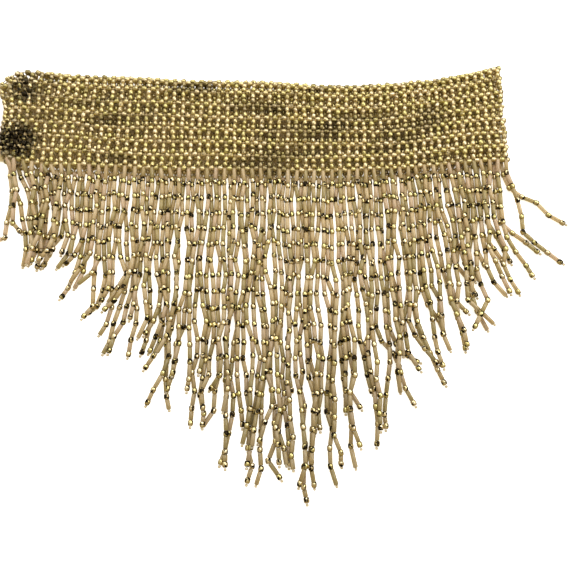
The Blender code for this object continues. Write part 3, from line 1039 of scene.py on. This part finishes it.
def laid_strand(knots, first_heights, laid):
    """Gives a strand its heights: on the surface, or on the strands laid before it that it meets."""
    places, runs = places_along(knots)
    heights = np.full(len(knots), LOWEST_MIDDLE)
    heights[:2] = first_heights
    if len(laid):
        apart = ((places[:, None, :2] - laid[None, :, :2]) ** 2).sum(axis=2)
        under = np.where(apart < NEAR * NEAR, laid[None, :, 2] + LAID_ON, 0.0).max(axis=1)
        for run, height in zip(runs, under):
            for knot in (run, run + 1):
                if knot:
                    heights[knot] = max(heights[knot], height)
    return np.column_stack([knots, heights])


def calmest_strand(layer, column, chances, laid):
    """A strand with as much of its chance bends as lets it lie low enough: its knots and its plan."""
    over = OVER_BACK if layer is FRONT else LOWEST_MIDDLE
    highest = LOWEST_MIDDLE + (layer.deepest - 0.5) * LAID_ON
    tries = []
    for share in CALMER:
        plan = strand_plan(layer, column, chances, share)
        knots = plan[kept_knots(plan)]
        strand = laid_strand(knots, (middle_height(layer, knots[0][0]), over), laid)
        tries.append((strand, plan))
        if strand[1:, 2].max() < highest:
            return strand, plan
    return min(tries, key=lambda made: made[0][1:, 2].max())


def with_heights(strand, plan):
    """The plan's points in space: between two knots the height changes evenly."""
    heights = np.interp(range(len(plan)), kept_knots(plan), strand[:, 2])
    return np.column_stack([plan, heights + STRANDS_LIFT])


def laid_fringe():
    """Every strand of both layers, as the points of its root, its beads and its end."""
    laid = np.empty((0, 3))
    fringe = {}
    for layer in (BACK, FRONT):
        draw = random.Random(layer.seed)
        columns = columns_of(layer)
        chances = {column: chances_of(layer, column, draw) for column in columns}
        strands = {}
        for column in (*columns[::2], *columns[1::2]):
            strand, plan = calmest_strand(layer, column, chances[column], laid)
            strands[column] = with_heights(strand, plan)
            laid = np.vstack([laid, places_along(strand)[0]])
        fringe[layer] = [strands[column] for column in columns]
    return fringe


fringe = laid_fringe()
highest = max(strand[:, 2].max() for strands in fringe.values() for strand in strands)
counts = {layer.name: len(strands) for layer, strands in fringe.items()}
print(counts, f"strands, up to {highest * 1000:.1f} mm high")

# %% [markdown]
# ## The fringe
#
# From its crossing in the net's lowest row a strand is a glass tube and a gold bead in turn. The tube is
# a cylinder with softened rims and sunk ends, a little longer or shorter from one to the next. Those
# differences add up, so the beads start in even rows at the net and end out of step. No bead sits quite
# straight on its thread, so each also lies a little to one side. A knot at the end hides in a short clear
# stop bead, and most strands have one more gold bead before it.

# %% The fringe
TUBE_RADIUS = 0.00152
TUBE_SINK = 0.0002  # it reaches into the holes of the beads at its ends by this much in all
TUBE_LENGTH = REPEAT - BEAD_LENGTH + TUBE_SINK
ROOT_ROOM = 0.0004  # between the crossing and the first tube
TUBE_SPREAD = 0.0010  # most that a tube is longer or shorter than the usual one
FARTHEST_SLIDE = 0.0032  # most that a bead has come out of its row by that, either way
SWAY = 0.0011  # and most that it lies to one side
TUBE_SIDES = 8
RIM = 0.00022
BORE = 0.0005
BORE_DEPTH = 0.0004
STOP_RADIUS = 0.00095
STOP_LENGTH = 0.0020
END_BEAD_SHARE = 0.7  # of the strands, which end in a gold bead
END_BEAD_BEFORE = 0.0022  # its middle, before the strand's end


def tube_shape():
    """A glass tube along Z with softened rims and sunk ends, one unit long."""
    bm = bmesh.new()
    bmesh.ops.create_cone(
        bm, cap_ends=True, segments=TUBE_SIDES, radius1=TUBE_RADIUS, radius2=TUBE_RADIUS, depth=TUBE_LENGTH
    )
    rims = [edge for edge in bm.edges if abs(edge.verts[0].co.z - edge.verts[1].co.z) < RIM]
    bmesh.ops.bevel(bm, geom=rims, offset=RIM, segments=1, profile=0.5, affect="EDGES", material=-1)
    ends = [face for face in bm.faces if abs(face.normal.z) > 0.9]
    bmesh.ops.inset_individual(bm, faces=ends, thickness=TUBE_RADIUS - RIM - BORE)
    for end in ends:
        inwards = -math.copysign(BORE_DEPTH, end.normal.z)
        bmesh.ops.translate(bm, verts=end.verts, vec=(0.0, 0.0, inwards))
    bmesh.ops.recalc_face_normals(bm, faces=bm.faces)
    bm.verts.index_update()
    return shape_of(bm)


TUBE = tube_shape()
STOP_BEAD = bead_shape(8, 5, STOP_RADIUS, STOP_LENGTH)


def between_beads(start, end):
    """The middle and direction of the tube between two beads, and how far it is stretched."""
    run = end - start
    length = np.linalg.norm(run)
    return (start + end) / 2, run / length, (1.0, 1.0, (length - BEAD_LENGTH + TUBE_SINK) / TUBE_LENGTH)


def from_root(root, bead):
    """The same for the tube between a crossing of the net and a strand's first bead."""
    run = (bead - root) / np.linalg.norm(bead - root)
    return between_beads(root + run * (ROOT_ROOM - BEAD_LENGTH / 2), bead)


def crossing_near(layer, root):
    """The crossing in a layer's lowest row that a strand hangs from."""
    lowest = np.array([crossings[c][0] for c, column in enumerate(ring) if column.layer is layer])
    return lowest[np.argmin(np.linalg.norm(lowest - root, axis=1))]


def make_fringe(layer):
    """The beads and the glass of one layer's strands, as two pieces."""
    beads_of, tubes = Strung(layer.seed + 1), Strung(layer.seed + 2)
    ends = random.Random(layer.seed + 3)
    bead_places, tube_places, stop_places, lines = [], [], [], []
    for strand in fringe[layer]:
        strand = np.vstack([crossing_near(layer, strand[0]), strand[1:]])
        strand[1:, 2] = np.maximum(strand[1:, 2], BEAD_RADIUS)  # a bead's middle stays this high
        runs = unit(np.diff(strand, axis=0))
        slides = np.cumsum([ends.uniform(-TUBE_SPREAD, TUBE_SPREAD) for _ in runs[1:]])
        slides = np.clip(slides, -FARTHEST_SLIDE, FARTHEST_SLIDE)
        sways = np.array([ends.uniform(-SWAY, SWAY) for _ in runs[1:]])
        beads = strand[1:-1] + runs[1:] * slides[:, None]
        beads[:, 0] -= runs[1:, 1] * sways
        beads[:, 1] += runs[1:, 0] * sways
        beads[:, 2] = np.maximum(beads[:, 2], BEAD_RADIUS)
        bead_places += zip(beads, runs[:-1] + runs[1:])
        tube_places += [from_root(strand[0], beads[0]), *map(between_beads, beads, beads[1:])]
        tip, last_run = strand[-1], runs[-1]
        if ends.random() < END_BEAD_SHARE:
            tip = tip - last_run * END_BEAD_BEFORE
            bead_places.append((tip, last_run))
            tube_places.append(between_beads(beads[-1], tip))
            stop_places.append((tip + last_run * (BEAD_LENGTH + STOP_LENGTH) / 2, last_run))
        else:
            tube_places.append(between_beads(beads[-1], tip + last_run * BEAD_LENGTH / 2))
            stop_places.append((tip + last_run * (BEAD_LENGTH - STOP_LENGTH) / 2, last_run))
        lines.append([strand[0], *beads, tip])
    beads_of.add(BEAD, *parts_of(bead_places))
    middles, directions, stretch = parts_of(tube_places)
    tubes.add(TUBE, middles, directions, stretch=stretch)
    tubes.add(STOP_BEAD, *parts_of(stop_places), finish=1)
    tubes.add_mesh(thread_mesh("strands", lines, THREAD_RADIUS), 2)
    beads_piece = beads_of.piece(f"{layer.name}_fringe_beads", (bright_gold,))
    glass_piece = tubes.piece(f"{layer.name}_fringe_glass", (glass, clear, thread))
    return beads_piece, glass_piece


fringe_pieces = {layer: make_fringe(layer) for layer in (BACK, FRONT)}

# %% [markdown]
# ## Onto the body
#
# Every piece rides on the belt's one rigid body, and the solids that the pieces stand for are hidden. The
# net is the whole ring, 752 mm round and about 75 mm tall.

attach(bead_net, "root")
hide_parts("band_front", "band_back")
for layer, (beads_piece, glass_piece) in fringe_pieces.items():
    for piece in (beads_piece, glass_piece):
        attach(piece, "root")
        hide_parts(f"fringe_{layer.name}")
strung_pieces = [piece for pieces in fringe_pieces.values() for piece in pieces]
